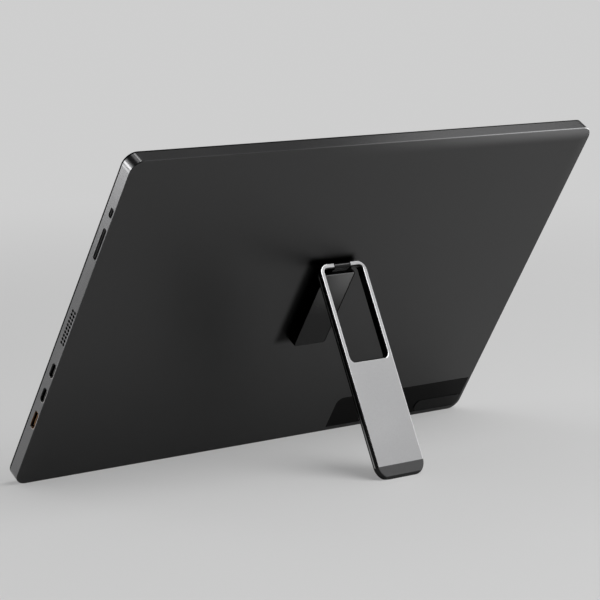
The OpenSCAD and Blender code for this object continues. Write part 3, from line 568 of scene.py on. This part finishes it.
# ---------------------------------------------------------------- studio
# A plain pale floor that fades into a plain backdrop of the same tone, even light
# from all round with three unlit zones, seven soft lamps, and the camera.
BACKDROP_TONE = (0.62, 0.62, 0.62)
FLOOR_HALF_WIDTH = 6.0
FLOOR_FADE = (0.12, 1.6)
FLOOR_LEAST_FADE = 0.4
ROOM_LIGHT = 0.78
# Direction, how near to it the light starts and ends to fall off, and the share left
UNLIT_ZONES = (((0.5, 0.7, 0.51), 0.5, 0.75, 0.08),
               ((-0.55, -0.35, 0.76), 0.65, 0.92, 0.15),
               ((0.525, -0.137, 0.841), 0.9, 0.97, 0.03))
# Name, place, target, size and power
LAMPS = (("key_lamp", (-1.5, 0.25, 0.5), (0, 0, 0.1), 1.2, 5),
         ("fill_lamp", (-0.4, 0.95, 1.5), (0, 0, 0), 1.6, 26),
         ("edge_lamp", (-0.95, 0.9, 0.3), (0, 0, 0.15), 0.3, 0.15),
         ("top_lamp", (-1.017, -0.239, 1.09), (-0.17, 0, 0.2), 0.27, 0.08),
         ("side_lamp", (1.25, -1.2, 0.2), (0.15, 0, 0.15), 0.5, 1.35),
         ("corner_lamp", (1.005, -0.472, 0.507), (0.178, 0, 0.2), 0.3, 0.9),
         ("crown_lamp", (0.025, -0.046, 1.187), (0.178, 0, 0.2), 0.15, 0.13))
LENS_LENGTH = 140.90
SENSOR_WIDTH = 36.0
VIEW_RANGE = 50.0
CAMERA_PLACE = (0.913807, 1.064697, 0.303812)
CAMERA_RIGHT = (-0.762996, 0.646374, -0.006165)
CAMERA_UP = (-0.098389, -0.106704, 0.989411)
CAMERA_BACK = (0.638871, 0.755524, 0.145011)
scene = bpy.context.scene


def blend_to_backdrop(surface, backdrop, amount=1.0):
    """Shows the camera, and nothing else, a plain backdrop instead of a surface."""
    tree = surface.id_data
    seen = calc("MULTIPLY", node(tree, "ShaderNodeLightPath").outputs["Is Camera Ray"], amount)
    blend = node(tree, "ShaderNodeMixShader")
    tree.links.new(seen, blend.inputs[0])
    tree.links.new(surface, blend.inputs[1])
    tree.links.new(backdrop, blend.inputs[2])
    return blend.outputs[0]


floor_paint = finish("pale_floor", BACKDROP_TONE, roughness=0.7, blotch=0.03, blotch_size=3,
                     grain=0.0, bump=0.0, specular=0.2)
tree = floor_paint.node_tree
reach = node(tree, "ShaderNodeVectorMath", operation="LENGTH")
steer(sockets_of(floor_paint)[0], reach.inputs[0])
far = ramp(reach.outputs["Value"], *FLOOR_FADE, first=FLOOR_LEAST_FADE)
plain = node(tree, "ShaderNodeEmission")
plain.inputs["Color"].default_value = (*BACKDROP_TONE, 1)
steer(blend_to_backdrop(tree.nodes["Principled BSDF"].outputs[0], plain.outputs[0], far),
      tree.nodes["Material Output"].inputs["Surface"])
floor = bpy.data.objects.new("studio_floor", bpy.data.meshes.new("studio_floor"))
sweep = bmesh.new()
bmesh.ops.create_grid(sweep, x_segments=1, y_segments=1, size=FLOOR_HALF_WIDTH)
sweep.to_mesh(floor.data)
sweep.free()
floor.data.materials.append(floor_paint)
scene.collection.objects.link(floor)

world = bpy.data.worlds.new("studio")
scene.world = world
world.use_nodes = True
tree = world.node_tree
room = tree.nodes["Background"]
room.inputs["Color"].default_value = (1, 1, 1, 1)
sky = node(tree, "ShaderNodeTexCoord").outputs["Generated"]
lit = all_of(*(ramp(along(sky, direction), start, end, first=1.0, last=left)
               for direction, start, end, left in UNLIT_ZONES))
steer(calc("MULTIPLY", lit, ROOM_LIGHT), room.inputs["Strength"])
drop = node(tree, "ShaderNodeBackground")
drop.inputs["Color"].default_value = (*BACKDROP_TONE, 1)
steer(blend_to_backdrop(room.outputs[0], drop.outputs[0]),
      tree.nodes["World Output"].inputs["Surface"])

for name, place, target, size, power in LAMPS:
    data = bpy.data.lights.new(name, "AREA")
    data.shape = "DISK"
    data.size = size
    data.energy = power
    lamp = bpy.data.objects.new(name, data)
    lamp.location = place
    lamp.rotation_euler = (Vector(target) - Vector(place)).to_track_quat("-Z", "Y").to_euler()
    lamp.visible_camera = False
    scene.collection.objects.link(lamp)

camera_data = bpy.data.cameras.new("camera")
camera_data.lens = LENS_LENGTH
camera_data.sensor_width = SENSOR_WIDTH
camera_data.sensor_fit = "HORIZONTAL"
camera_data.clip_end = VIEW_RANGE
camera = bpy.data.objects.new("camera", camera_data)
turn = Matrix((CAMERA_RIGHT, CAMERA_UP, CAMERA_BACK)).transposed().to_4x4()
camera.matrix_world = Matrix.Translation(CAMERA_PLACE) @ turn
scene.collection.objects.link(camera)
scene.camera = camera
scene.view_settings.view_transform = "Standard"
